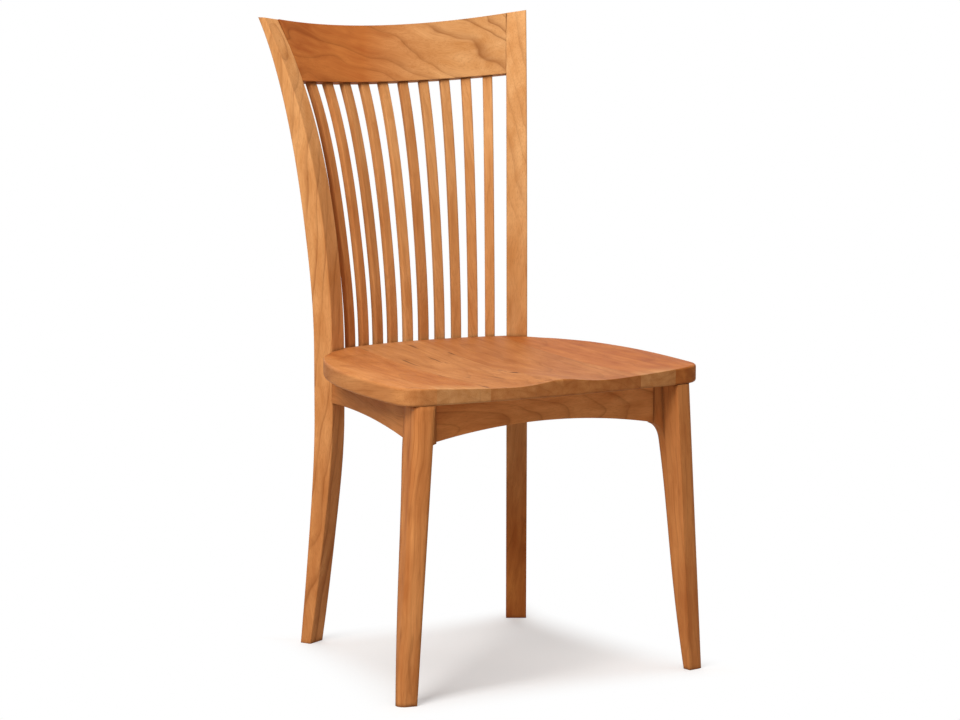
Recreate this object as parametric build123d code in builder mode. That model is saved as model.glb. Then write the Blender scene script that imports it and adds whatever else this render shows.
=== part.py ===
"""Side chair in solid cherry.

Two sawn back posts turned in plan, a bent crest rail, a fan of ten bent slats, slim front legs
with a knee, arched rails and a saddle seat glued up from five staves and carved.

Millimetres. The chair faces -Y, +X is its right side as the viewer sees it, the floor is Z = 0
and the origin is in the middle of the footprint. The chair is symmetric about the YZ plane, so
the paired pieces are modelled on the +X side and mirrored.
"""

import os
from math import cos, exp, radians, sin, sqrt

from build123d import *

os.makedirs("parts", exist_ok=True)

# Heights
seat_underside = 434.0
seat_thickness = 26.0

# Front legs: tapered boards that lean out, round at the outer front, with a knee towards the apron
leg_front = -273.97
leg_foot_x = 230.0
leg_top_x = 201.2
leg_width = 28.2
leg_foot_depth = 14.8
leg_shin_depth = 33.3
leg_shin_height = 154.0
leg_calf_depth = 46.9
leg_calf_below_rail = 57.0
leg_head_depth = 52.0
leg_knee_reach = 18.0
leg_knee_drop = 30.0
leg_knee_setback = 36.0
leg_round = 12.0
side_splay = 8.5

# Back posts: planar curves, turned so that sweeping back also spreads them
post_x = 170.0
post_setback = 390.0
post_turn = 28.3
post_width = 32.0
post_seat_depth = 34.5
post_foot_sweep = 44.5
post_foot_depth = 19.0
post_shin_sweep = 14.5
post_shin_depth = 29.0
post_shin_height = 200.0
post_flat_below_seat = 68.0
post_flat_above_seat = 18.0
post_loin_sweep = 11.5
post_loin_depth = 35.5
post_loin_height = 621.0
post_crest_sweep = 74.0
post_crest_depth = 22.5
post_tip_sweep = 122.5
post_tip_depth = 12.0
post_tip_height = 961.0
post_tip_drop = 4.5
post_edge_round = 2.0

# Crest rail: bent to a cylinder that leans back, thinner towards its top
crest_end_drop = 96.0
crest_lean = 28.0
crest_cut = 14.0
crest_radius = 448.0
crest_arch = 9.5
crest_height = 93.0
crest_foot_thickness = 21.0
crest_top_thickness = 13.5

# Back slats
slat_count = 10
slat_width = 15.0
slat_thickness = 11.0
slat_top_spacing = 34.8
slat_foot_spacing = 27.5
slat_setback = 10.5
slat_top_lean = 23.0
slat_loin_share = 0.2
slat_tenon = 16.0
slat_edge_round = 2.0

# Rails
side_rail_thickness = 24.5
side_rail_depth = 55.0
side_rail_arch = 7.0
apron_setback = 32.0
apron_thickness = 14.0
apron_depth = 59.0
apron_arch = 17.5
rear_rail_setback = 441.5
rear_rail_radius = 434.0
rear_rail_thickness = 22.0
rear_rail_depth = 62.0

# Saddle seat
stave_count = 5
stave_width = 89.0
seat_front_overhang = 17.0
seat_front_bow = 18.0
seat_side_overhang = 24.6
seat_corner = 42.0
seat_corner_inset = 4.0
seat_ear = 35.0
seat_ear_setback = 42.0
seat_widest = 108.0
seat_hip_inset = 22.0
seat_hip_lead = 63.0
seat_edge_round = 4.0
seat_rim = 26.0
pommel_width = 42.0

# Joints, blocks and screws
dowel_diameter = 8.0
dowel_length = 34.0
crest_dowel_diameter = 6.5
crest_dowel_length = 32.0
side_dowel_depths = (37.0, 12.0)
cross_dowel_depths = (48.0, 23.0)
crest_dowel_rises = (14.0, 53.0)
block_reach = 62.0
block_height = 26.0
cleat_width = 18.0
cleat_height = 20.0
cleat_start = 150.0
cleat_length = 170.0
cleat_screw_inset = 35.0
screw_shank = 4.0
screw_head = 8.0
screw_head_height = 2.6
screw_bite = 11.0

# Clearances
mortise_gap = 0.25
dowel_gap = 0.15
screw_gap = 0.15
hole_end_gap = 0.5
post_notch_gap = 0.4
slat_seat_gap = 2.0

# Heights that follow from the seat's underside and from the post's tip
seat_top = seat_underside + seat_thickness
post_flat_low = seat_underside - post_flat_below_seat
post_flat_high = seat_underside + post_flat_above_seat
side_rail_end_height = seat_underside - side_rail_depth
leg_calf_height = side_rail_end_height - leg_calf_below_rail
apron_end_height = seat_underside - apron_depth
rear_rail_underside = seat_underside - rear_rail_depth
crest_end_height = post_tip_height - crest_end_drop
side_dowel_heights = [seat_underside - depth for depth in side_dowel_depths]
cross_dowel_heights = [seat_underside - depth for depth in cross_dowel_depths]
crest_dowel_heights = [crest_end_height + rise for rise in crest_dowel_rises]

# Planes and directions shared by the pieces
up = Vector(0, 0, 1)
floor = Plane.XY
under_seat = Plane.XY.offset(seat_underside)

# Side frame: rearward along the rail, and outward through the leg's width
splay = radians(side_splay)
rail_back = Vector(-sin(splay), cos(splay), 0)
leg_rise = Vector(leg_top_x - leg_foot_x, 0, seat_underside).normalized()
side_out = rail_back.cross(leg_rise).normalized()
side_plane = Plane(origin=(leg_foot_x, leg_front, 0), x_dir=rail_back, z_dir=side_out)
knee_plane = Plane(
    origin=side_plane.from_local_coords((leg_knee_setback, 0, 0)), x_dir=side_out, z_dir=rail_back * -1
)

# The upright cheek of the leg's knee, which the apron meets
cheek_spot = side_plane.from_local_coords((0, apron_end_height, -leg_knee_reach))
cheek_plane = Plane(origin=cheek_spot, x_dir=rail_back, z_dir=rail_back.cross(up))

# Back post: rearward along its sweep, and outward through its width
turn = radians(post_turn)
post_y = leg_front + post_setback
post_back = Vector(sin(turn), cos(turn), 0)
post_out = Vector(cos(turn), -sin(turn), 0)
post_plane = Plane(origin=(post_x, post_y, 0), x_dir=post_back, z_dir=post_out)
post_inner_plane = post_plane.offset(-post_width)
post_front_plane = Plane(origin=(post_x, post_y, 0), x_dir=post_out, z_dir=post_back)

# Crest: the middle of its lower front edge, set so that its front face meets the posts'
lean = radians(crest_lean)
crest_up = Vector(0, sin(lean), cos(lean))
crest_back = Vector(0, cos(lean), -sin(lean))
crest_corner = post_inner_plane.from_local_coords((post_crest_sweep, crest_end_height, 0))
crest_sag = crest_radius - sqrt(crest_radius**2 - crest_corner.X**2)
crest_middle = (
    crest_back * (crest_corner.dot(crest_back) + crest_sag)
    + crest_up * (crest_corner.dot(crest_up) + crest_arch)
)
crest_ring_plane = Plane(origin=crest_middle, x_dir=(1, 0, 0), z_dir=crest_up)

# The crest's long edges are cut square to this plane, which leans less than the board does
cut = radians(crest_cut)
crest_front_plane = Plane(origin=crest_middle, x_dir=(1, 0, 0), z_dir=(0, -cos(cut), sin(cut)))
crest_slope = (post_tip_sweep - post_crest_sweep) / (post_tip_height - crest_end_height)
crest_tip = post_inner_plane.from_local_coords(
    (post_tip_sweep - crest_slope * post_tip_drop, post_tip_height - post_tip_drop, 0)
)

rear_rail_y = leg_front + rear_rail_setback


def mirrored(plane):
    """The same plane on the chair's other side, its normal still pointing outward."""
    spot, way = plane.origin, plane.z_dir
    return Plane(origin=(-spot.X, spot.Y, spot.Z), z_dir=(-way.X, way.Y, way.Z))


def both_sides(planes):
    return [side for plane in planes for side in (plane, mirrored(plane))]


def keep_between(plane):
    """Trim the part in hand to what lies inside a plane and inside its mirror image."""
    for side in (plane, mirrored(plane)):
        split(bisect_by=side, keep=Keep.BOTTOM)


def drill(spots, diameter, length):
    """Cut a round hole through each spot, half its length to either side."""
    for spot in spots:
        with Locations(Location(spot)):
            Cylinder(diameter / 2, length, mode=Mode.SUBTRACT)


def save(name, part):
    part.label = name
    export_step(part, f"parts/{name}.step")


def save_pair(name, part):
    """Write the +X piece as modelled and its mirror image as the -X piece."""
    with BuildPart() as other:
        mirror(part, about=Plane.YZ)
    save(f"right_{name}", part)
    save(f"left_{name}", other.part)


# Dowel spots: each lies on the joint's face, with its axis along the bore
side_rail_middle = side_rail_thickness / 2
leg_dowels = [
    Plane(origin=side_plane.from_local_coords((leg_head_depth, z, side_rail_middle)), z_dir=rail_back)
    for z in side_dowel_heights
]


def rail_end(z):
    """How far along the rail its middle meets the post's front at a height."""
    start = post_front_plane.to_local_coords(side_plane.from_local_coords((0, z, side_rail_middle)))
    return -start.Z / rail_back.dot(post_back)


rail_end_reach = rail_end(side_rail_end_height)
post_side_dowels = [
    Plane(origin=side_plane.from_local_coords((rail_end(z), z, side_rail_middle)), z_dir=rail_back)
    for z in side_dowel_heights
]
# The apron's middle, as a run along the cheek of the knee
apron_run = (leg_front + apron_setback + apron_thickness / 2 - cheek_spot.Y) / cos(splay)
apron_dowels = [
    Plane(origin=cheek_plane.from_local_coords((apron_run, z - cheek_spot.Z, 0)), z_dir=(1, 0, 0))
    for z in cross_dowel_heights
]
# The rear rail's centre line meets the post's inner face at this place behind its front
rail_spoke = post_inner_plane.origin - Vector(0, rear_rail_y - rear_rail_radius, 0)
spoke_run = rail_spoke.dot(post_back)
rear_rail_place = sqrt(spoke_run**2 - rail_spoke.dot(rail_spoke) + rear_rail_radius**2) - spoke_run
rear_rail_dowels = [
    Plane(origin=post_inner_plane.from_local_coords((rear_rail_place, z, 0)), z_dir=post_out)
    for z in cross_dowel_heights
]
crest_dowels = [
    Plane(
        origin=post_inner_plane.from_local_coords(
            (post_crest_sweep + crest_slope * (z - crest_end_height) + post_tip_depth / 2, z, 0)
        ),
        z_dir=post_out,
    )
    for z in crest_dowel_heights
]
frame_hole = dowel_diameter + 2 * dowel_gap
frame_hole_length = dowel_length + 2 * hole_end_gap
crest_hole = crest_dowel_diameter + 2 * dowel_gap
crest_hole_length = crest_dowel_length + 2 * hole_end_gap

# Front legs: a sawn side profile, round at the outer front, with a knee on the inner side
over = 20.0
top = seat_underside + over
with BuildSketch(side_plane) as leg_side:
    with BuildLine():
        Spline(
            (leg_foot_depth, 0),
            (leg_shin_depth, leg_shin_height),
            (leg_calf_depth, leg_calf_height),
            (leg_head_depth, side_rail_end_height),
            tangents=[(0.16, 1), (0, 1)],
        )
        Polyline(
            (leg_head_depth, side_rail_end_height),
            (leg_head_depth, top),
            (0, top),
            (0, -over),
            (leg_foot_depth, -over),
            (leg_foot_depth, 0),
        )
    make_face()

# The knee curves from the leg's inner face to the apron's underside
with BuildPart() as knee:
    knee_low = apron_end_height - leg_knee_drop
    cheek_rise = top - apron_end_height
    cheek_top = knee_plane.to_local_coords(cheek_plane.from_local_coords((leg_knee_setback, cheek_rise, 0)))
    with BuildSketch(knee_plane):
        with BuildLine():
            Spline((-leg_knee_reach, apron_end_height), (0, knee_low), tangents=[(1, -0.35), (0, -1)])
            Polyline(
                (0, knee_low),
                (leg_width / 4, knee_low),
                (leg_width / 4, cheek_top.Y),
                (cheek_top.X, cheek_top.Y),
                (-leg_knee_reach, apron_end_height),
            )
        make_face()
    extrude(amount=leg_knee_setback - leg_head_depth)
    extrude(leg_side.sketch, amount=2 * leg_width, both=True, mode=Mode.INTERSECT)

with BuildPart() as leg:
    extrude(leg_side.sketch, amount=leg_width)
    long_edges = leg.edges().filter_by(lambda e: abs((e % 0.5).dot(side_plane.y_dir)) > 0.9999)
    front_edges = long_edges.sort_by(lambda e: (e @ 0.5).dot(rail_back))[:2]
    fillet(front_edges.sort_by(lambda e: (e @ 0.5).dot(side_out))[-1], radius=leg_round)
    add(knee.part)
    split(bisect_by=floor, keep=Keep.TOP)
    split(bisect_by=under_seat, keep=Keep.BOTTOM)
    drill(leg_dowels + apron_dowels, frame_hole, frame_hole_length)
save_pair("front_leg", leg.part)

# Back posts: sawn from one board each, flat where the rails meet them
with BuildPart() as post:
    with BuildSketch(post_plane):
        with BuildLine():
            Spline(
                (post_foot_sweep, 0),
                (post_shin_sweep, post_shin_height),
                (0, post_flat_low),
                tangents=[(-0.175, 1), (0, 1)],
            )
            Line((0, post_flat_low), (0, post_flat_high))
            front_rise = Spline(
                (0, post_flat_high),
                (post_loin_sweep, post_loin_height),
                (post_crest_sweep, crest_end_height),
                (post_tip_sweep, post_tip_height),
                tangents=[(0, 1), (0.58, 1)],
            )
            tip_back = (post_tip_sweep + post_tip_depth, post_tip_height)
            Line(front_rise @ 1, tip_back)
            Spline(
                tip_back,
                (post_crest_sweep + post_crest_depth, crest_end_height),
                (post_loin_sweep + post_loin_depth, post_loin_height),
                (post_seat_depth, post_flat_high),
                tangents=[(-0.52, -1), (0, -1)],
            )
            Line((post_seat_depth, post_flat_high), (post_seat_depth, post_flat_low))
            Spline(
                (post_seat_depth, post_flat_low),
                (post_shin_sweep + post_shin_depth, post_shin_height),
                (post_foot_sweep + post_foot_depth, 0),
                tangents=[(0, -1), (0.11, -1)],
            )
            Line((post_foot_sweep + post_foot_depth, 0), (post_foot_sweep, 0))
        make_face()
    extrude(amount=-post_width)
    outer_edges = post.faces().sort_by(Axis(origin=(0, 0, 0), direction=post_out))[-1].edges()
    fillet(outer_edges.filter_by(lambda e: e.length > post_width * 2), radius=post_edge_round)
    # The tip slopes down towards the crest's top edge
    tip_cut = Plane(
        origin=post_plane.from_local_coords((post_tip_sweep, post_tip_height, 0)),
        x_dir=post_back,
        z_dir=(up * post_width - post_out * post_tip_drop).normalized(),
    )
    split(bisect_by=tip_cut, keep=Keep.BOTTOM)
    drill(post_side_dowels + rear_rail_dowels, frame_hole, frame_hole_length)
    drill(crest_dowels, crest_hole, crest_hole_length)
save_pair("back_post", post.part)


# Slats: bent in their own upright planes, from the rear rail to the crest's underside
def slat_foot(step):
    angle = step * slat_foot_spacing / rear_rail_radius
    return Vector(
        rear_rail_radius * sin(angle), rear_rail_y - rear_rail_radius * (1 - cos(angle)), 0
    )


def slat_head(step):
    """Where a slat's centre line meets the crest's arched lower edge."""
    ring = crest_radius + slat_setback
    angle = step * slat_top_spacing / ring
    x = ring * sin(angle)
    drop = crest_arch * (x / crest_corner.X) ** 2
    return (
        crest_middle
        + Vector(x, 0, 0)
        + crest_back * (ring * cos(angle) - crest_radius)
        - crest_up * drop
    )


def slat_form(step, grow, end_gap):
    """One slat; a grown copy of it is the cutter for both of its mortises."""
    foot, head = slat_foot(step), slat_head(step)
    run = Vector(head.X - foot.X, head.Y - foot.Y, 0)
    plane = Plane(origin=foot, x_dir=run, z_dir=run.cross(up))
    reach = run.length
    loin = reach * slat_loin_share
    half = slat_thickness / 2 + grow
    base = seat_underside - slat_tenon
    way = Vector(sin(radians(slat_top_lean)), cos(radians(slat_top_lean)), 0)
    side = Vector(way.Y, -way.X, 0)
    shoulder = Vector(reach, head.Z, 0)
    tip = shoulder + way * (slat_tenon + end_gap)
    with BuildPart() as form:
        with BuildSketch(plane):
            with BuildLine():
                Line((-half, base), (-half, post_flat_high))
                Spline(
                    (-half, post_flat_high),
                    (loin - half, post_loin_height),
                    shoulder - side * half,
                    tangents=[(0, 1), way],
                )
                Polyline(shoulder - side * half, tip - side * half, tip + side * half, shoulder + side * half)
                Spline(
                    shoulder + side * half,
                    (loin + half, post_loin_height),
                    (half, post_flat_high),
                    tangents=[way * -1, (0, -1)],
                )
                Polyline((half, post_flat_high), (half, base), (-half, base))
            make_face()
        extrude(amount=slat_width / 2 + grow, both=True)
        if not grow:
            flanks = form.faces().sort_by(Axis(origin=(0, 0, 0), direction=plane.z_dir))
            rims = flanks[0].edges() + flanks[-1].edges()
            fillet(rims.filter_by(lambda e: e.length > slat_tenon * 1.2), radius=slat_edge_round)
    return form.part


slat_steps = [i - (slat_count - 1) / 2 for i in range(slat_count)]
slat_cutters = [slat_form(step, mortise_gap, hole_end_gap) for step in slat_steps]
for number, step in enumerate(slat_steps, start=1):
    save(f"back_slat_{number:02d}", slat_form(step, 0, 0))

# Crest rail: a bent board, tapered in thickness, with both long edges arched
with BuildPart() as crest:
    taper = (crest_top_thickness - crest_foot_thickness) / crest_height
    half_chord = crest_corner.X + 2 * post_width
    fall = crest_radius - sqrt(crest_radius**2 - half_chord**2)
    for level in (-2 * crest_arch - 10, crest_height + 10):
        thickness = crest_foot_thickness + taper * level
        spread = (crest_radius + thickness) / crest_radius
        with BuildSketch(crest_ring_plane.offset(level)):
            with BuildLine():
                inner_bend = ThreePointArc((-half_chord, -fall), (0, 0), (half_chord, -fall))
                outer_end = (half_chord * spread, crest_radius * (spread - 1) - fall * spread)
                Line(inner_bend @ 1, outer_end)
                outer_bend = ThreePointArc(outer_end, (0, thickness), (-outer_end[0], outer_end[1]))
                Line(outer_bend @ 1, inner_bend @ 0)
            make_face()
    loft()
    # The lower edge ends at the posts' corners and the upper edge at their tips
    wide = crest_corner.X + 3 * post_width
    corner_spot = crest_front_plane.to_local_coords(crest_corner)
    tip_spot = crest_front_plane.to_local_coords(crest_tip)
    low_end = corner_spot.Y * (wide / corner_spot.X) ** 2
    high_end = crest_height + (tip_spot.Y - crest_height) * (wide / tip_spot.X) ** 2
    with BuildSketch(crest_front_plane):
        with BuildLine():
            Spline((-wide, low_end), (0, 0), (wide, low_end))
            Line((wide, low_end), (wide, high_end))
            Spline((wide, high_end), (0, crest_height), (-wide, high_end))
            Line((-wide, high_end), (-wide, low_end))
        make_face()
    extrude(amount=crest_radius / 2, both=True, mode=Mode.INTERSECT)
    keep_between(post_inner_plane)
    drill(both_sides(crest_dowels), crest_hole, crest_hole_length)
    for cutter in slat_cutters:
        add(cutter, mode=Mode.SUBTRACT)
save("crest_rail", crest.part)

# Rear seat rail: bent to the slats' curve, between the posts
with BuildPart() as rear_rail:
    with BuildSketch(Plane.XY.offset(rear_rail_underside)) as rail_bend:
        with Locations((0, rear_rail_y - rear_rail_radius)):
            Circle(rear_rail_radius + rear_rail_thickness / 2)
            Circle(rear_rail_radius - rear_rail_thickness / 2, mode=Mode.SUBTRACT)
        with Locations((0, rear_rail_y)):
            Rectangle(2 * (post_x + post_width), rear_rail_radius, mode=Mode.INTERSECT)
    extrude(amount=seat_underside - rear_rail_underside)
    keep_between(post_inner_plane)
    drill(both_sides(rear_rail_dowels), frame_hole, frame_hole_length)
    for cutter in slat_cutters:
        add(cutter, mode=Mode.SUBTRACT)
save("rear_seat_rail", rear_rail.part)

# Seat cleats: strips along the side rails that take the seat screws
cleat_end = cleat_start + cleat_length
with BuildPart() as cleat:
    with BuildSketch(side_plane):
        with BuildLine():
            Polyline(
                (cleat_start, seat_underside - 2 * cleat_height),
                (cleat_end, seat_underside - 2 * cleat_height),
                (cleat_end, seat_underside + cleat_height),
                (cleat_start, seat_underside + cleat_height),
                close=True,
            )
        make_face()
    extrude(amount=-cleat_width)
    split(bisect_by=under_seat, keep=Keep.BOTTOM)
    split(bisect_by=under_seat.offset(-cleat_height), keep=Keep.TOP)

# Screw spots: seats of the heads, with the axis pointing the way the screw goes in
cleat_screw_runs = (cleat_start + cleat_screw_inset, cleat_end - cleat_screw_inset)
cleat_middle = seat_underside - cleat_height / 2
cleat_seat_marks = [
    side_plane.from_local_coords((run, cleat_middle, -cleat_width / 2))
    for run in (cleat_screw_runs[0] + cleat_screw_inset, cleat_screw_runs[1] - cleat_screw_inset)
]
cleat_seat_spots = [
    Plane(origin=(mark.X, mark.Y, seat_underside - cleat_height), z_dir=up) for mark in cleat_seat_marks
]
cleat_rail_spots = [
    Plane(origin=side_plane.from_local_coords((run, cleat_middle, -cleat_width)), z_dir=side_out)
    for run in cleat_screw_runs
]
apron_back = leg_front + apron_setback + apron_thickness
block_base = seat_underside - block_height
block_corner = side_plane.from_local_coords((apron_run, block_base, 0))
block_spots = [
    Plane(origin=(block_corner.X - block_reach / 3, apron_back + block_reach / 3, block_base), z_dir=up)
]


def bore(spots, length):
    """Cut a screw's hole, from its head's seat along the way it goes in."""
    for spot in spots:
        with Locations(Location(spot)):
            Cylinder(
                screw_shank / 2 + screw_gap,
                length + hole_end_gap,
                align=(Align.CENTER, Align.CENTER, Align.MIN),
                mode=Mode.SUBTRACT,
            )


cleat_seat_length = cleat_height + screw_bite
cleat_rail_length = cleat_width + screw_bite
block_seat_length = block_height + screw_bite

with BuildPart() as drilled_cleat:
    add(cleat.part)
    bore(cleat_seat_spots, cleat_seat_length)
    bore(cleat_rail_spots, cleat_rail_length)
save_pair("seat_cleat", drilled_cleat.part)

# Corner blocks: in the corner between the apron and the side rail
with BuildPart() as block:
    with BuildSketch(Plane.XY.offset(block_base)):
        corner_x = block_corner.X
        with BuildLine():
            Polyline(
                (corner_x - block_reach, apron_back),
                (corner_x + block_reach, apron_back),
                (corner_x + block_reach, apron_back + block_reach),
                (corner_x - block_reach / 6, apron_back + block_reach),
                (corner_x - block_reach, apron_back + block_reach / 6),
                close=True,
            )
        make_face()
    extrude(amount=block_height)
    split(bisect_by=side_plane, keep=Keep.BOTTOM)
    add(leg.part, mode=Mode.SUBTRACT)
    bore(block_spots, block_seat_length)
save_pair("corner_block", block.part)

# Side rails: arched below, from the leg's head to the flat of the back post
with BuildPart() as side_rail:
    far = rail_end_reach + post_width
    middle_run = (leg_head_depth + rail_end_reach) / 2
    with BuildSketch(side_plane):
        with BuildLine():
            ThreePointArc(
                (leg_head_depth, side_rail_end_height),
                (middle_run, side_rail_end_height + side_rail_arch),
                (rail_end_reach, side_rail_end_height),
            )
            Polyline(
                (rail_end_reach, side_rail_end_height),
                (far, side_rail_end_height),
                (far, seat_underside + over),
                (leg_head_depth, seat_underside + over),
                (leg_head_depth, side_rail_end_height),
            )
        make_face()
    extrude(amount=side_rail_thickness)
    split(bisect_by=under_seat, keep=Keep.BOTTOM)
    split(bisect_by=post_front_plane, keep=Keep.BOTTOM)
    drill(leg_dowels + post_side_dowels, frame_hole, frame_hole_length)
    bore(cleat_rail_spots, cleat_rail_length)
save_pair("side_rail", side_rail.part)

# Front apron: arched below, between the legs' inner faces
with BuildPart() as apron:
    apron_plane = Plane(origin=(0, leg_front + apron_setback, 0), x_dir=(1, 0, 0), z_dir=(0, -1, 0))
    span = cheek_plane.from_local_coords((apron_run, 0, 0)).X
    wide = span + leg_width
    with BuildSketch(apron_plane):
        with BuildLine():
            ThreePointArc(
                (-span, apron_end_height), (0, apron_end_height + apron_arch), (span, apron_end_height)
            )
            Polyline(
                (span, apron_end_height),
                (wide, apron_end_height),
                (wide, seat_underside),
                (-wide, seat_underside),
                (-wide, apron_end_height),
                (-span, apron_end_height),
            )
        make_face()
    extrude(amount=-apron_thickness)
    keep_between(cheek_plane)
    drill(both_sides(apron_dowels), frame_hole, frame_hole_length)
save("front_apron", apron.part)

# Dowels
for name, spots, diameter, length in (
    (
        "frame_dowels",
        leg_dowels + post_side_dowels + apron_dowels + rear_rail_dowels,
        dowel_diameter,
        dowel_length,
    ),
    ("crest_dowels", crest_dowels, crest_dowel_diameter, crest_dowel_length),
):
    with BuildPart() as dowels:
        with Locations([Location(spot) for spot in both_sides(spots)]):
            Cylinder(diameter / 2, length)
    save(name, dowels.part)


def screw_group(name, spots_and_lengths):
    """Pan-head screws: head, shank and a cross recess, one solid each."""
    with BuildPart() as screws:
        for spot, length in spots_and_lengths:
            with Locations(Location(spot)):
                Cylinder(screw_shank / 2, length, align=(Align.CENTER, Align.CENTER, Align.MIN))
                Cylinder(
                    screw_head / 2, screw_head_height, align=(Align.CENTER, Align.CENTER, Align.MAX)
                )
            with Locations(Location(spot.offset(-screw_head_height))):
                for size in ((screw_head * 0.55, screw_head * 0.13), (screw_head * 0.13, screw_head * 0.55)):
                    Box(*size, screw_head_height, mode=Mode.SUBTRACT)
    save(name, screws.part)


screw_group(
    "seat_screws",
    [(spot, cleat_seat_length) for spot in both_sides(cleat_seat_spots)]
    + [(spot, block_seat_length) for spot in both_sides(block_spots)],
)
screw_group("cleat_screws", [(spot, cleat_rail_length) for spot in both_sides(cleat_rail_spots)])

# Saddle: the hollow that the carver takes out, as sections from front to back.
# Each section has its place behind the front edge, the hollow's depth and the pommel's height.
saddle_sections = (
    (-25, 8.0, 7.5),
    (45, 9.5, 7.0),
    (115, 11.0, 3.5),
    (195, 11.5, 0.5),
    (280, 9.5, 0.0),
    (360, 5.0, 0.0),
    (415, 0.5, 0.0),
    (465, -4.5, 0.0),
)
seat_half_width = leg_top_x + leg_width + seat_side_overhang
hollow_half_width = seat_half_width - seat_rim
seat_front = leg_front - seat_front_overhang


def saddle_height(x, depth, pommel):
    return seat_top - depth * (1 - (x / hollow_half_width) ** 2) + pommel * exp(-((x / pommel_width) ** 2))


with BuildPart() as saddle:
    reach = seat_half_width + seat_rim
    offsets = [reach * share for share in (0.13, 0.26, 0.4, 0.6, 0.8, 1.0)]
    offsets = [-x for x in reversed(offsets)] + [0.0] + offsets
    clear = seat_top + 3 * seat_thickness
    for place, depth, pommel in saddle_sections:
        section_plane = Plane(origin=(0, seat_front + place, 0), x_dir=(1, 0, 0), z_dir=(0, -1, 0))
        with BuildSketch(section_plane):
            with BuildLine():
                hollow = Spline(*[(x, saddle_height(x, depth, pommel)) for x in offsets])
                Polyline(hollow @ 1, (reach, clear), (-reach, clear), hollow @ 0)
            make_face()
    loft()

# Seat: outline with bowed front and sides, ears that reach past the posts, a curved back edge
with BuildPart() as seat:
    front_corner = Vector(seat_half_width - seat_corner_inset, seat_front + seat_front_bow)
    side_widest = Vector(seat_half_width, leg_front + seat_widest)
    ear = Vector(post_x + seat_ear, post_y - seat_ear_setback)
    side_hip = Vector(seat_half_width - seat_hip_inset, ear.Y - seat_hip_lead)
    post_outer_spot = post_front_plane.from_local_coords((-post_width / 8, 0, post_notch_gap))
    post_inner_spot = post_front_plane.from_local_coords((-post_width * 0.95, 0, post_seat_depth / 6))
    back_middle = rear_rail_y - slat_thickness / 2 - slat_seat_gap - 2 * slat_seat_gap
    with BuildSketch(under_seat) as outline:
        with BuildLine():
            ThreePointArc((-front_corner.X, front_corner.Y), (0, seat_front), front_corner)
            side = Spline(front_corner, side_widest, side_hip, ear)
            right_ear = Polyline(
                ear, (post_outer_spot.X, post_outer_spot.Y), (post_inner_spot.X, post_inner_spot.Y)
            )
            mirror(side, about=Plane.YZ)
            mirror(right_ear, about=Plane.YZ)
            ThreePointArc(
                (post_inner_spot.X, post_inner_spot.Y),
                (0, back_middle),
                (-post_inner_spot.X, post_inner_spot.Y),
            )
        make_face()
        fillet(outline.vertices().group_by(Axis.Y)[0], radius=seat_corner)
    extrude(amount=seat_thickness)
    flats = seat.faces().sort_by(Axis.Z)
    rims = flats[0].edges() + flats[-1].edges()
    fillet(rims.filter_by(lambda e: (e @ 0.5).Y < ear.Y), radius=seat_edge_round)
    add(saddle.part, mode=Mode.SUBTRACT)
    with BuildSketch(post_plane.offset(post_notch_gap)):
        with Locations((post_seat_depth, seat_underside)):
            Rectangle(2 * (post_seat_depth + post_notch_gap), 4 * seat_thickness)
    notch = extrude(amount=-(post_width + 2 * post_notch_gap), mode=Mode.SUBTRACT)
    mirror(notch, about=Plane.YZ, mode=Mode.SUBTRACT)
    bore(both_sides(cleat_seat_spots), cleat_seat_length)
    bore(both_sides(block_spots), block_seat_length)

# Staves: the carved seat parted along its glue lines
for number in range(stave_count):
    left_line = stave_width * (number - stave_count / 2)
    with BuildPart() as stave:
        add(seat.part)
        if number > 0:
            split(bisect_by=Plane.YZ.offset(left_line), keep=Keep.TOP)
        if number < stave_count - 1:
            split(bisect_by=Plane.YZ.offset(left_line + stave_width), keep=Keep.BOTTOM)
    save(f"seat_stave_{number + 1}", stave.part)
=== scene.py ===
# %% [markdown]
# # A slat-back side chair in oiled cherry
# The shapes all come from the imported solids: posts, crest, slats, rails, legs and the carved seat.
# This lesson gives them their wood, stands them on a pale floor and lights them as a studio would.
# Nothing here changes a solid, so the chair keeps its real size in metres.

from math import radians

import bpy
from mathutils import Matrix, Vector

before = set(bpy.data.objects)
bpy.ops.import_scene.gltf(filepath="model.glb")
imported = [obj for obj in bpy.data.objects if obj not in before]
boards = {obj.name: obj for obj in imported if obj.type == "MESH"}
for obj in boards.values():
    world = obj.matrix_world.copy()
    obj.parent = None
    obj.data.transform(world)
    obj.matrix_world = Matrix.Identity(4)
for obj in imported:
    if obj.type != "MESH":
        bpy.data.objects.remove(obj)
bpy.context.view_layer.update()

# %% [markdown]
# ## Two small helpers
# Colours are easiest to pick as the hex values of an image editor, but shaders work in linear
# light, so one function turns the first into the second. The other adds a node to a node tree with
# its settings and its links in one call: a plain value is typed into the socket, a socket is joined
# to it. A Mix node has sockets of one name for numbers, vectors and colours, so those for colours
# are picked by their number.


# %% Helpers
def linear(hex_colour):
    parts = [int(hex_colour[i : i + 2], 16) / 255 for i in (1, 3, 5)]
    return (*[c / 12.92 if c <= 0.04045 else ((c + 0.055) / 1.055) ** 2.4 for c in parts], 1.0)


def add(tree, kind, inputs=None, **settings):
    made = tree.nodes.new(kind)
    for name, value in settings.items():
        setattr(made, name, value)
    for name, value in (inputs or {}).items():
        if isinstance(value, bpy.types.NodeSocket):
            tree.links.new(value, made.inputs[name])
        else:
            made.inputs[name].default_value = value
    return made


MM = 0.001
FACTOR, COLOUR_A, COLOUR_B, MIXED = 0, 6, 7, 2
print("pale cherry in linear light", [round(c, 3) for c in linear("#dea46a")])

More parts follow.
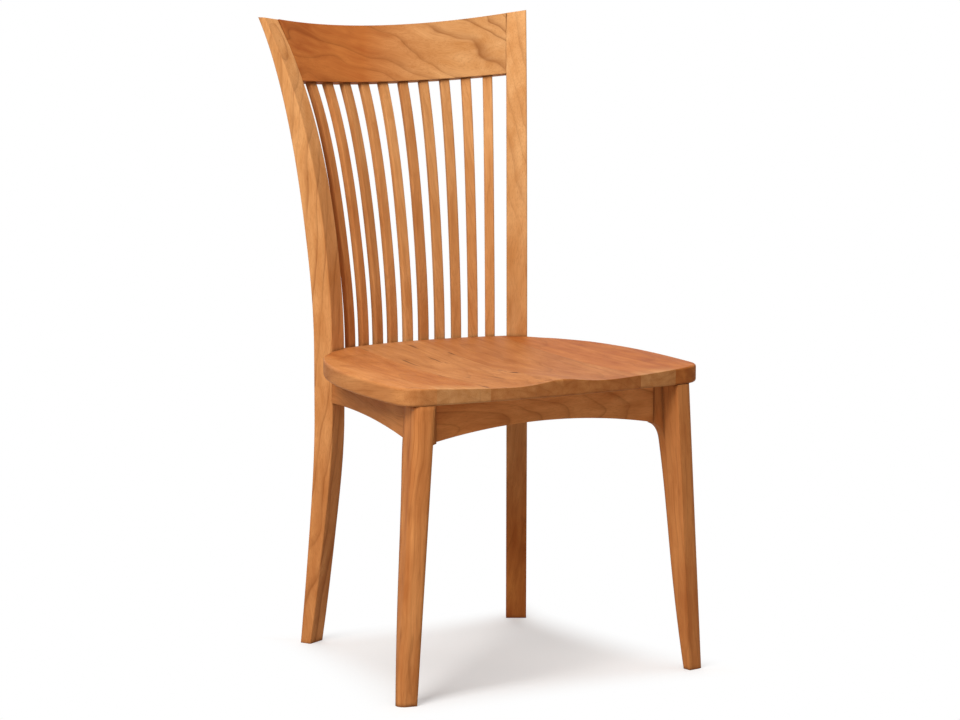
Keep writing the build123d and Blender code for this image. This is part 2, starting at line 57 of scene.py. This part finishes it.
# %% [markdown]
# ## How a board sits in its tree
# A tree's growth rings are tubes around its pith. A board is cut out of those tubes, so its faces
# show long lines, nested arches or, on an end, plain arcs, all from one pattern. The figure is
# therefore made in the round: every board says where its pith runs, and the node group measures the
# distance from it. A picture of wood wrapped around each face could not carry the lines over an
# edge.

# %% The inside of the tree
figure = bpy.data.node_groups.new("cherry_figure", "ShaderNodeTree")
numbers = ("Length", "Ring", "Sway", "Lines", "Ripe", "Ripe far", "Tone", "Streaks", "Ease")
for way, kind, labels in (
    ("INPUT", "NodeSocketVector", ("Pith", "Turn")),
    ("INPUT", "NodeSocketFloat", numbers),
    ("OUTPUT", "NodeSocketColor", ("Colour",)),
    ("OUTPUT", "NodeSocketFloat", ("Roughness",)),
    ("OUTPUT", "NodeSocketVector", ("Normal",)),
):
    for label in labels:
        figure.interface.new_socket(label, in_out=way, socket_type=kind)
board = add(figure, "NodeGroupInput").outputs
place = add(figure, "ShaderNodeTexCoord").outputs["Object"]
trunk = add(
    figure,
    "ShaderNodeMapping",
    {"Vector": place, "Location": board["Pith"], "Rotation": board["Turn"]},
).outputs["Vector"]
print("the trunk's axis is the group's Z")

# %% [markdown]
# ## Growth rings
# Trunks are never true cylinders, so the place is pushed a few millimetres sideways by a slow noise
# that is stretched along the grain. The distance from the pith divided by a ring's width counts the
# rings, and what is left after the whole number runs from pale early wood to the thin, dark late
# line. Cherry's lines are faint: they come and go along the board, so a second slow noise weakens
# them.

# %% A crooked trunk
ACROSS = (1.0, 1.0, 0.0)
SLOW_STRETCH = (1.0, 1.0, 0.45)
SWAY_SIZE = 60 * MM
drawn_out = add(
    figure, "ShaderNodeVectorMath", {0: trunk, 1: SLOW_STRETCH}, operation="MULTIPLY"
).outputs[0]
sway = add(
    figure, "ShaderNodeTexNoise", {"Vector": drawn_out, "Scale": 1 / SWAY_SIZE, "Detail": 2.0}
).outputs["Color"]
centred = add(
    figure, "ShaderNodeVectorMath", {0: sway, 1: (0.5, 0.5, 0.5)}, operation="SUBTRACT"
).outputs[0]
pushed = add(
    figure, "ShaderNodeVectorMath", {0: centred, "Scale": board["Sway"]}, operation="SCALE"
).outputs[0]
swayed = add(
    figure, "ShaderNodeVectorMath", {0: pushed, 1: ACROSS, 2: trunk}, operation="MULTIPLY_ADD"
).outputs[0]
print("the trunk sways every", round(SWAY_SIZE / MM), "mm")

# %% Rings
UNEVEN_YEARS = 1.8
across = add(
    figure, "ShaderNodeVectorMath", {0: swayed, 1: ACROSS}, operation="MULTIPLY"
).outputs[0]
distance = add(figure, "ShaderNodeVectorMath", {0: across}, operation="LENGTH").outputs["Value"]
count = add(
    figure, "ShaderNodeMath", {0: distance, 1: board["Ring"]}, operation="DIVIDE"
).outputs[0]
good_years = add(
    figure, "ShaderNodeTexNoise", {"W": count, "Scale": 0.5, "Detail": 1.0}, noise_dimensions="1D"
).outputs["Fac"]
uneven = add(
    figure, "ShaderNodeMath", {0: good_years, 1: UNEVEN_YEARS, 2: count}, operation="MULTIPLY_ADD"
).outputs[0]
season = add(figure, "ShaderNodeMath", {0: uneven}, operation="FRACT").outputs[0]
print("rings count outwards from the pith")

# %% Late-wood lines
PATCH_SIZE = 42 * MM
YEAR_END = 0.34
late = add(figure, "ShaderNodeValToRGB", {"Fac": season})
for spot, shade in ((0.05, 0.10), (0.45, 0.0), (0.74, 0.16), (0.90, 0.62), (0.96, 1.0)):
    late.color_ramp.elements.new(spot).color = (shade, shade, shade, 1.0)
for end in (0, -1):
    late.color_ramp.elements[end].color = (YEAR_END, YEAR_END, YEAR_END, 1.0)
patchy = add(
    figure, "ShaderNodeTexNoise", {"Vector": drawn_out, "Scale": 1 / PATCH_SIZE, "Detail": 1.5}
).outputs["Fac"]
comes_and_goes = add(
    figure,
    "ShaderNodeMapRange",
    {"Value": patchy, "From Min": 0.28, "From Max": 0.62, "To Min": 0.25},
).outputs["Result"]
faded = add(
    figure, "ShaderNodeMath", {0: late.outputs["Color"], 1: comes_and_goes}, operation="MULTIPLY"
).outputs[0]
line = add(
    figure, "ShaderNodeMath", {0: faded, 1: board["Lines"]}, operation="MULTIPLY"
).outputs[0]
print("late-wood ramp has", len(late.color_ramp.elements), "stops")

# %% [markdown]
# ## Fibres, bands and clouds
# Cherry is diffuse-porous: its fibres are about a tenth of a millimetre across and its pores are
# hardly seen. Both are too fine for a picture of the whole chair, so they are drawn about ten times
# as coarse. Over them lie bands a finger wide along the grain, and cloudy patches where the grain
# dips and rises.

# %% Fibres
FIBRE_STRETCH = (1.0, 1.0, 0.03)
FIBRE_SIZE, PORE_SIZE = 1.4 * MM, 1.0 * MM
hair = add(
    figure, "ShaderNodeVectorMath", {0: swayed, 1: FIBRE_STRETCH}, operation="MULTIPLY"
).outputs[0]
fibre = add(
    figure, "ShaderNodeTexNoise", {"Vector": hair, "Scale": 1 / FIBRE_SIZE, "Detail": 3.0}
).outputs["Fac"]
pore_noise = add(
    figure, "ShaderNodeTexNoise", {"Vector": hair, "Scale": 1 / PORE_SIZE, "Detail": 1.0}
).outputs["Fac"]
pore_share = add(
    figure,
    "ShaderNodeMapRange",
    {"Value": pore_noise, "From Min": 0.62, "From Max": 0.74, "To Max": 0.2},
).outputs["Result"]
hair_share = add(
    figure,
    "ShaderNodeMapRange",
    {"Value": fibre, "From Min": 0.45, "From Max": 0.7, "To Max": 0.24},
).outputs["Result"]
print("fibres drawn", round(FIBRE_SIZE / MM, 1), "mm apart")

# %% Bands and clouds
BAND_STRETCH = (1.0, 1.0, 0.07)
BAND_SIZE, CLOUD_SIZE = 11 * MM, 34 * MM
lengthwise = add(
    figure, "ShaderNodeVectorMath", {0: swayed, 1: BAND_STRETCH}, operation="MULTIPLY"
).outputs[0]
band = add(
    figure, "ShaderNodeTexNoise", {"Vector": lengthwise, "Scale": 1 / BAND_SIZE, "Detail": 2.0}
).outputs["Fac"]
cloud = add(
    figure, "ShaderNodeTexNoise", {"Vector": drawn_out, "Scale": 1 / CLOUD_SIZE, "Detail": 2.5}
).outputs["Fac"]
mixed = add(figure, "ShaderNodeMath", {0: band, 1: cloud}, operation="ADD").outputs[0]
depth = add(
    figure, "ShaderNodeMapRange", {"Value": mixed, "From Min": 0.66, "From Max": 1.34}
).outputs["Result"]
print("bands", round(BAND_SIZE / MM), "mm wide, clouds", round(CLOUD_SIZE / MM), "mm across")

# %% [markdown]
# ## Gum streaks and end grain
# Cherry bleeds gum into short, dark, pointed streaks along the grain. A board says how many of them
# it has. Where the saw crossed the fibres, on the seat's front edge and under the feet, the open
# ends drink more oil and turn darker: that is where the surface faces along the trunk.

# %% End grain
END_DARKENING = 0.12
facing = add(
    figure,
    "ShaderNodeMapping",
    {"Vector": add(figure, "ShaderNodeTexCoord").outputs["Normal"], "Rotation": board["Turn"]},
    vector_type="NORMAL",
).outputs["Vector"]
along = add(figure, "ShaderNodeSeparateXYZ", {"Vector": facing}).outputs["Z"]
open_ends = add(figure, "ShaderNodeMath", {0: along, 1: along}, operation="MULTIPLY").outputs[0]
end_share = add(
    figure,
    "ShaderNodeMapRange",
    {"Value": open_ends, "From Min": 0.35, "From Max": 0.95, "To Max": END_DARKENING},
).outputs["Result"]
print("open ends are up to", END_DARKENING, "darker")

# %% Gum streaks
GUM_STRETCH = (1.0, 1.0, 0.14)
GUM_SIZE = 12 * MM
gum_place = add(
    figure, "ShaderNodeVectorMath", {0: swayed, 1: GUM_STRETCH}, operation="MULTIPLY"
).outputs[0]
gum = add(
    figure, "ShaderNodeTexNoise", {"Vector": gum_place, "Scale": 1 / GUM_SIZE, "Detail": 2.0}
).outputs["Fac"]
gum_line = add(
    figure, "ShaderNodeMapRange", {"Value": gum, "From Min": 0.6, "From Max": 0.71}
).outputs["Result"]
side_grain = add(
    figure, "ShaderNodeMath", {0: 1.0, 1: open_ends}, operation="SUBTRACT"
).outputs[0]
gum_there = add(
    figure, "ShaderNodeMath", {0: gum_line, 1: side_grain}, operation="MULTIPLY"
).outputs[0]
gum_share = add(
    figure, "ShaderNodeMath", {0: gum_there, 1: board["Streaks"]}, operation="MULTIPLY"
).outputs[0]
print("gum streaks from a", round(GUM_SIZE / MM), "mm noise, none on open ends")

# %% [markdown]
# ## Colour
# Oil and daylight ripen fresh cherry from pale honey to red-brown, and no two boards are equally
# far. Each board says how ripe its two ends are, and its colour goes from the lighter to the deeper
# of two woods with the bands and clouds. The late-wood lines, fibres, pores, streaks and open ends
# are laid over that, and shade is painted into the corners where two boards meet. On the crest and
# the posts the ripeness also carries painted sheen and shade.

# %% From fresh to ripe
reach = add(figure, "ShaderNodeSeparateXYZ", {"Vector": trunk}).outputs["Z"]
ripe = add(
    figure,
    "ShaderNodeMapRange",
    {
        "Value": reach,
        "From Max": board["Length"],
        "To Min": board["Ripe"],
        "To Max": board["Ripe far"],
    },
    interpolation_type="SMOOTHSTEP",
).outputs["Result"]
light_wood, deep_wood = [
    add(
        figure,
        "ShaderNodeMix",
        {FACTOR: ripe, COLOUR_A: linear(fresh), COLOUR_B: linear(ripened)},
        data_type="RGBA",
    ).outputs[MIXED]
    for fresh, ripened in (("#dea46a", "#c9793a"), ("#c8884d", "#a75725"))
]
colour = add(
    figure,
    "ShaderNodeMix",
    {FACTOR: depth, COLOUR_A: light_wood, COLOUR_B: deep_wood},
    data_type="RGBA",
).outputs[MIXED]
print("each board goes from light to deep wood")

# %% Layers over the wood
# Painted shade: the corners where boards meet are darkened by how closed in each spot is.
JOINT_REACH = 7 * MM
corner = add(
    figure, "ShaderNodeAmbientOcclusion", {"Distance": JOINT_REACH}, samples=6
).outputs["AO"]
corner_shade_share = add(
    figure,
    "ShaderNodeMapRange",
    {"Value": corner, "From Min": 0.9, "From Max": 0.45, "To Max": 0.55},
).outputs["Result"]
layers = (
    (line, "#77390f"),
    (hair_share, "#8f4e1f"),
    (pore_share, "#7a3f1a"),
    (gum_share, "#5f2f12"),
    (end_share, "#6b3513"),
    # painted shade in the corners where boards meet
    (corner_shade_share, "#5a2b10"),
)
for share, shade in layers:
    colour = add(
        figure,
        "ShaderNodeMix",
        {FACTOR: share, COLOUR_A: colour, COLOUR_B: linear(shade)},
        data_type="RGBA",
    ).outputs[MIXED]
toned = add(
    figure, "ShaderNodeHueSaturation", {"Color": colour, "Value": board["Tone"]}
).outputs["Color"]
print(len(layers), "layers over the wood")

# %% [markdown]
# ## Surface
# A rubbed oil finish is satin: it follows the fibres, so it is a little rougher where they stand
# up, and a faint relief catches the light. The corners of the solids are eased, by about a
# millimetre where a maker goes over them with sandpaper and by more on the front legs, which a hand
# plane rounded; a shader can round the normal there without changing the solid.

# %% Satin oil
FIBRE_RELIEF = 0.12 * MM
satin = add(
    figure, "ShaderNodeMapRange", {"Value": fibre, "To Min": 0.45, "To Max": 0.62}
).outputs["Result"]
eased = add(figure, "ShaderNodeBevel", {"Radius": board["Ease"]}, samples=6).outputs["Normal"]
raised = add(
    figure,
    "ShaderNodeBump",
    {"Strength": 0.2, "Distance": FIBRE_RELIEF, "Height": fibre, "Normal": eased},
).outputs["Normal"]
add(figure, "NodeGroupOutput", {"Colour": toned, "Roughness": satin, "Normal": raised})
print("the figure has", len(figure.nodes), "nodes")

# %% [markdown]
# ## Boards of oiled cherry
# The first function cuts a board out of the tree. It takes two points of the pith, in the chair's
# millimetres, and turns the chair's frame so that the trunk stands along Z. Where the pith slants
# towards a face, the rings open there in nested arches; where it runs beside the board, they stay
# long straight lines. The second function finishes a piece with satin oil. A piece can be glued up
# from two boards: the second one then starts at the glue line, which runs from front to back. The
# same split can also start a board whose darker tone is painted shade.


# %% Cut a board
def cut_board(
    tree, pith, ring_mm, ripe, lines=0.3, tone=1.0, streaks=0.0, ease_mm=1.3, sway_mm=20.0
):
    low, high = Vector(pith[0]) * MM, Vector(pith[1]) * MM
    turn = (high - low).normalized().rotation_difference(Vector((0, 0, 1)))
    settings = {
        "Turn": turn.to_euler(),
        "Pith": -(turn @ low),
        "Length": (high - low).length,
        "Ring": ring_mm * MM,
        "Sway": sway_mm * MM,
        "Lines": lines,
        "Ripe": ripe[0],
        "Ripe far": ripe[1],
        "Tone": tone,
        "Streaks": streaks,
        "Ease": ease_mm * MM,
    }
    return add(tree, "ShaderNodeGroup", settings, node_tree=figure).outputs


# %% Oil a piece
OIL_IOR = 1.48
OIL_SPECULAR = 0.06


def oiled_cherry(piece, split_line_mm=None, next_cut=None, **cut):
    wood = bpy.data.materials.new(f"oiled_cherry_{piece}")
    wood.use_nodes = True
    tree = wood.node_tree
    first = cut_board(tree, **cut)
    colour = first["Colour"]
    if split_line_mm is not None:
        spot = add(tree, "ShaderNodeTexCoord").outputs["Object"]
        x = add(tree, "ShaderNodeSeparateXYZ", {"Vector": spot}).outputs["X"]
        beyond = add(
            tree, "ShaderNodeMath", {0: x, 1: split_line_mm * MM}, operation="GREATER_THAN"
        ).outputs[0]
        second = cut_board(tree, **next_cut)
        colour = add(
            tree,
            "ShaderNodeMix",
            {FACTOR: beyond, COLOUR_A: colour, COLOUR_B: second["Colour"]},
            data_type="RGBA",
        ).outputs[MIXED]
    finish = tree.nodes["Principled BSDF"].inputs
    finish["IOR"].default_value = OIL_IOR
    finish["Specular IOR Level"].default_value = OIL_SPECULAR
    tree.links.new(colour, finish["Base Color"])
    tree.links.new(first["Roughness"], finish["Roughness"])
    tree.links.new(first["Normal"], finish["Normal"])
    boards[piece].material_slots[0].material = wood


print("oil with an IOR of", OIL_IOR, "and little gloss")

# %% [markdown]
# ## The back
# The crest comes from a crooked trunk whose pith ran above it and sloped down to the right, so wavy
# lines cross its face that way. Its left half is the ripest: a value above 1 holds that colour
# further along. Its pale right end is a painted sheen. The posts show long lines and a few arcs
# where the saw cut across the bend. The right post pales towards its top, a painted sheen too, and
# both posts deepen towards the foot, partly as painted shade under the seat. The slats are narrow
# strips of plain wood, not sorted by colour.

# %% Crest and posts
oiled_cherry(
    "crest_rail",
    pith=((-200, 130, 1230), (200, 130, 1106)),
    ring_mm=24.0,
    lines=0.64,
    # The pale right end, where the ripeness falls to 0, is a painted sheen.
    ripe=(2.7, 0.0),
    tone=0.88,
    ease_mm=2.0,
    sway_mm=55.0,
)
oiled_cherry(
    "left_back_post",
    pith=((-330, 120, 0), (-204, 216, 960)),
    ring_mm=15.0,
    lines=0.55,
    # Deeper towards the foot: partly painted shade under the seat.
    ripe=(0.6, 0.1),
    tone=1.03,
)
oiled_cherry(
    "right_back_post",
    pith=((300, 260, 0), (315, 230, 480)),
    ring_mm=12.0,
    # Paler towards the top: painted sheen. Deeper towards the foot: partly painted shade under the
    # seat.
    ripe=(1.3, 0.0),
    tone=0.96,
)
print("crest and two posts oiled")

# %% Slats
SLAT_PITCH_MM = 31
# From the left: how ripe each slat's top is, and its tone.
slat_woods = (
    (0.6, 0.9),
    (0.5, 0.95),
    (0.35, 0.85),
    (0.35, 0.91),
    (0.15, 0.97),
    (0.4, 0.85),
    (0.15, 0.9),
    (0.2, 0.88),
    (0.2, 0.96),
    (0.1, 0.98),
)
middle = (len(slat_woods) + 1) / 2
for number, (ripeness, tone) in enumerate(slat_woods, start=1):
    side = -1 if number % 2 else 1
    x = (number - middle) * SLAT_PITCH_MM
    oiled_cherry(
        f"back_slat_{number:02d}",
        pith=((x + side * 120, 200, 460), (x + side * 150, 290, 860)),
        ring_mm=7.0,
        lines=0.25,
        ripe=(ripeness + 0.1, ripeness),
        tone=tone,
    )
print(len(slat_woods), "slats in the back")

# %% [markdown]
# ## Legs and rails
# Legs are cut from straight-grained stock for strength, so their pith runs beside them. The apron
# is flat-sawn: its pith meets the face near the left end and sinks behind it towards the right, so
# arches nest there with their tips to the right.

# %% Front legs and apron
oiled_cherry(
    "left_front_leg",
    pith=((-340, -160, 0), (-305, -160, 430)),
    ring_mm=8.0,
    ripe=(0.6, 0.7),
    tone=1.01,
    streaks=0.25,
    ease_mm=11.0,
)
oiled_cherry(
    "right_front_leg",
    pith=((345, -160, 0), (310, -150, 430)),
    ring_mm=8.0,
    ripe=(0.7, 0.7),
    tone=0.97,
    ease_mm=5.0,
)
oiled_cherry(
    "front_apron",
    pith=((-360, -250, 384), (80, -180, 398)),
    ring_mm=9.0,
    lines=0.5,
    ripe=(0.9, 0.6),
    tone=1.17,
    sway_mm=14.0,
)
print("two front legs and the apron oiled")

# %% Side and rear rails, cleats and blocks
rail = {"ring_mm": 10.0, "lines": 0.35, "ripe": (0.7, 0.7)}
for side, sign in (("left", -1), ("right", 1)):
    pith = ((sign * 130, -220, 330), (sign * 80, 110, 340))
    oiled_cherry(f"{side}_side_rail", pith=pith, tone=0.95, **rail)
    for piece in (f"{side}_seat_cleat", f"{side}_corner_block"):
        oiled_cherry(
            piece,
            pith=((60, -250, 300), (60, 250, 320)),
            ring_mm=8.0,
            lines=0.35,
            ripe=(0.4, 0.4),
            tone=0.9,
        )
oiled_cherry("rear_seat_rail", pith=((-160, 300, 340), (160, 300, 350)), tone=0.92, **rail)
print("three rails, two cleats and two blocks oiled")

# %% [markdown]
# ## The seat
# The staves run from front to back. Most are themselves glued up from two boards, and a board goes
# on in the next stave, so the tone changes at the glue lines inside the staves and hardly at their
# seams. The line in the middle of the third stave is no glue line: the board right of it is darker
# as painted shade on the pommel's right slope. The fourth stave is one board, and its right seam is
# a glue line of its own. Two boards are paler at the front edge, and one left of the middle carries
# gum streaks. Carving cut through the rings, so the hollows show wide, soft arches.

# %% Seat staves
# From the left, as a pith, a ring's width, how ripe the ends are and a tone.
seat_boards = [
    {"pith": pith, "ring_mm": ring_mm, "ripe": ends, "tone": tone}
    for pith, ring_mm, ends, tone in (
        (((-230, -290, 390), (-225, 200, 330)), 14.0, (0.55, 0.6), 0.9),
        (((-165, -290, 390), (-164.4, -230, 382.7)), 14.0, (0.2, 0.8), 0.82),
        (((-75, -290, 350), (-90, 200, 400)), 12.0, (0.6, 0.5), 0.78),
        # Darker than the board left of it: painted shade on the pommel's right slope.
        (((60, -290, 360), (57, -150, 371.4)), 13.0, (0.75, 0.75), 0.74),
        (((150, -290, 540), (148.8, -230, 537.5)), 12.0, (0.3, 0.95), 0.79),
        (((215, -290, 540), (200, 200, 500)), 12.0, (1.0, 1.0), 0.77),
    )
]
seat_boards[2]["streaks"] = 0.9
seat_boards[3]["lines"] = 0.35
# At 0 the painted shade of the pommel's right slope begins; the other lines are glue lines.
glue_and_shade_lines_mm = (-200, -117, 0, None, 197)
for number, split_line_mm in enumerate(glue_and_shade_lines_mm, start=1):
    left_board, right_board = seat_boards[number - 1 : number + 1]
    oiled_cherry(f"seat_stave_{number}", split_line_mm, right_board, **left_board)
print(len(glue_and_shade_lines_mm), "staves show", len(seat_boards), "boards")

# %% [markdown]
# ## Dowels and screws
# The dowels are plain beech, which is pale and fine-grained, and they hide inside the joints. The
# screws that hold the seat from below are zinc-plated steel: bright, a little grey-blue, with a
# fine turned surface that a small noise on the roughness is enough to suggest.

# %% Beech
FLECK_SIZE = 1.5 * MM
for piece in ("frame_dowels", "crest_dowels"):
    beech = bpy.data.materials.new(f"raw_beech_{piece}")
    beech.use_nodes = True
    tree = beech.node_tree
    fleck = add(
        tree, "ShaderNodeTexNoise", {"Scale": 1 / FLECK_SIZE, "Detail": 2.0}
    ).outputs["Fac"]
    pale = add(
        tree,
        "ShaderNodeMix",
        {FACTOR: fleck, COLOUR_A: linear("#d9b48a"), COLOUR_B: linear("#c0936a")},
        data_type="RGBA",
    ).outputs[MIXED]
    finish = tree.nodes["Principled BSDF"].inputs
    finish["Roughness"].default_value = 0.7
    tree.links.new(pale, finish["Base Color"])
    boards[piece].material_slots[0].material = beech
print("2 groups of dowels")

# %% Zinc
TURNED_SIZE = 0.8 * MM
for piece in ("seat_screws", "cleat_screws"):
    zinc = bpy.data.materials.new(f"zinc_plated_steel_{piece}")
    zinc.use_nodes = True
    tree = zinc.node_tree
    turned = add(
        tree, "ShaderNodeTexNoise", {"Scale": 1 / TURNED_SIZE, "Detail": 2.0}
    ).outputs["Fac"]
    dull = add(
        tree, "ShaderNodeMapRange", {"Value": turned, "To Min": 0.25, "To Max": 0.45}
    ).outputs["Result"]
    finish = tree.nodes["Principled BSDF"].inputs
    finish["Base Color"].default_value = linear("#c9cbcc")
    finish["Metallic"].default_value = 1.0
    tree.links.new(dull, finish["Roughness"])
    boards[piece].material_slots[0].material = zinc
print("2 groups of screws")

# %% [markdown]
# ## Floor and background
# The photograph has a white ground on which only a soft shadow shows, between the four feet. A lit
# floor alone would come out grey, so for the camera part of its white is its own glow, and the lit
# part carries the shadow. Outside a four-pointed star whose points are the feet it turns wholly to
# white, and meets the white world without an edge.

# %% Floor
bpy.ops.mesh.primitive_plane_add(size=60)
floor = bpy.context.object
floor.name = "floor"
paper = bpy.data.materials.new("white_paper_sweep")
paper.use_nodes = True
floor.data.materials.append(paper)
tree = paper.node_tree
print("floor", floor.dimensions[:2])

# %% Star between the feet
FRONT_FEET_Y, REAR_FEET_Y = -0.275, 0.175
FRONT_FEET_X, REAR_FEET_X = 0.245, 0.19
HOLLOWNESS = 0.85
place = add(tree, "ShaderNodeTexCoord").outputs["Object"]
spot = add(tree, "ShaderNodeSeparateXYZ", {"Vector": place}).outputs
feet_y = {"From Min": FRONT_FEET_Y, "From Max": REAR_FEET_Y}
deep = add(
    tree,
    "ShaderNodeMapRange",
    {"Value": spot["Y"], **feet_y, "To Min": -1.0, "To Max": 1.0},
    clamp=False,
).outputs["Result"]
half_width = add(
    tree,
    "ShaderNodeMapRange",
    {"Value": spot["Y"], **feet_y, "To Min": FRONT_FEET_X, "To Max": REAR_FEET_X},
    clamp=True,
).outputs["Result"]
wide = add(tree, "ShaderNodeMath", {0: spot["X"], 1: half_width}, operation="DIVIDE").outputs[0]
arms = []
for meet in ("ADD", "SUBTRACT"):
    slant = add(tree, "ShaderNodeMath", {0: wide, 1: deep}, operation=meet).outputs[0]
    size = add(tree, "ShaderNodeMath", {0: slant}, operation="ABSOLUTE").outputs[0]
    half = add(tree, "ShaderNodeMath", {0: size, 1: 0.5}, operation="MULTIPLY").outputs[0]
    arms.append(add(tree, "ShaderNodeMath", {0: half, 1: HOLLOWNESS}, operation="POWER").outputs[0])
star = add(tree, "ShaderNodeMath", {0: arms[0], 1: arms[1]}, operation="ADD").outputs[0]
fade = add(
    tree,
    "ShaderNodeMapRange",
    {"Value": star, "From Min": 0.8, "From Max": 1.35},
    interpolation_type="SMOOTHSTEP",
).outputs["Result"]
print("a star with", 2 * len(arms), "points")

# %% Paper
PAPER_GLOW = 0.18
seen = add(tree, "ShaderNodeLightPath").outputs
shown = add(
    tree,
    "ShaderNodeMath",
    {0: seen["Is Camera Ray"], 1: seen["Is Transmission Ray"]},
    operation="MAXIMUM",
).outputs[0]
glow, white = [
    add(tree, "ShaderNodeEmission", {"Color": linear("#ffffff"), "Strength": strength}).outputs[0]
    for strength in (PAPER_GLOW, 1.0)
]
lit = add(tree, "ShaderNodeBsdfDiffuse", {"Color": linear("#dcdad8")}).outputs[0]
both = add(tree, "ShaderNodeAddShader", {0: glow, 1: lit}).outputs[0]
spread = add(tree, "ShaderNodeMixShader", {0: fade, 1: both, 2: white}).outputs[0]
plain = add(tree, "ShaderNodeBsdfDiffuse", {"Color": linear("#c4c2c0")}).outputs[0]
ground = add(tree, "ShaderNodeMixShader", {0: shown, 1: plain, 2: spread}).outputs[0]
tree.links.new(ground, tree.nodes["Material Output"].inputs["Surface"])
print("paper with a glow of", PAPER_GLOW)

# %% [markdown]
# ## Light
# A large soft box stands above and in front, to the camera's left: the left faces are the brightest
# and the apron lies in shade. A wide one hangs overhead and lays the shadow between the feet, and a
# weak one behind keeps the back from going dull. The white world fills the rest and shows white in
# gloss.

# %% World
FILL_LIGHT = 0.31
world = bpy.context.scene.world or bpy.data.worlds.new("studio")
bpy.context.scene.world = world
world.use_nodes = True
sky = world.node_tree
rays = add(sky, "ShaderNodeLightPath").outputs
clear = add(
    sky,
    "ShaderNodeMath",
    {0: rays["Is Camera Ray"], 1: rays["Is Transmission Ray"]},
    operation="MAXIMUM",
).outputs[0]
bright = add(
    sky, "ShaderNodeMath", {0: clear, 1: rays["Is Glossy Ray"]}, operation="MAXIMUM"
).outputs[0]
level = add(
    sky, "ShaderNodeMapRange", {"Value": bright, "To Min": FILL_LIGHT, "To Max": 1.0}
).outputs["Result"]
backdrop = sky.nodes["Background"].inputs
backdrop["Color"].default_value = linear("#ffffff")
sky.links.new(level, backdrop["Strength"])
print("a white world that fills with", FILL_LIGHT)


# %% Lamps
def soft_box(name, place, aim, side, watts):
    lamp = bpy.data.lights.new(name, "AREA")
    lamp.shape = "RECTANGLE"
    lamp.size = lamp.size_y = side
    lamp.energy = watts
    stand = bpy.data.objects.new(name, lamp)
    bpy.context.scene.collection.objects.link(stand)
    stand.location = place
    stand.rotation_euler = (Vector(aim) - Vector(place)).to_track_quat("-Z", "Y").to_euler()


soft_box("key_box", (-2.5, -1.5, 2.8), aim=(0, 0, 0.5), side=1.6, watts=112)
soft_box("top_box", (0.2, -0.2, 3.4), aim=(0, 0, 0.4), side=3.6, watts=68)
soft_box("back_box", (0.9, 1.9, 3.2), aim=(0, 0, 0.5), side=1.6, watts=20)
print("key, top and back box hung")

# %% [markdown]
# ## Camera
# The viewpoint was worked out from pairs of mirrored points on the chair, such as the two post tips
# and the feet: it stands about five metres off, to the left of the chair's front, at shoulder
# height.

# %% Camera
lens = bpy.data.cameras.new("camera")
lens.sensor_width = 36.0
lens.lens = 132.5
camera = bpy.data.objects.new("camera", lens)
camera.location = (-2.5194, -4.64257, 1.2331)
camera.rotation_euler = (radians(81.56), 0, radians(-28.70))
bpy.context.scene.collection.objects.link(camera)
bpy.context.scene.camera = camera
bpy.context.scene.view_settings.view_transform = "Standard"
print("camera", round((camera.location - Vector((0, 0, 0.5))).length, 2), "m from the chair")

# %% [markdown]
# ## Materials
# A material can't make the chair larger, but a piece added by mistake could. The scene closes by
# counting its materials.

# %% Materials
print(len(bpy.data.materials), "materials in the scene")
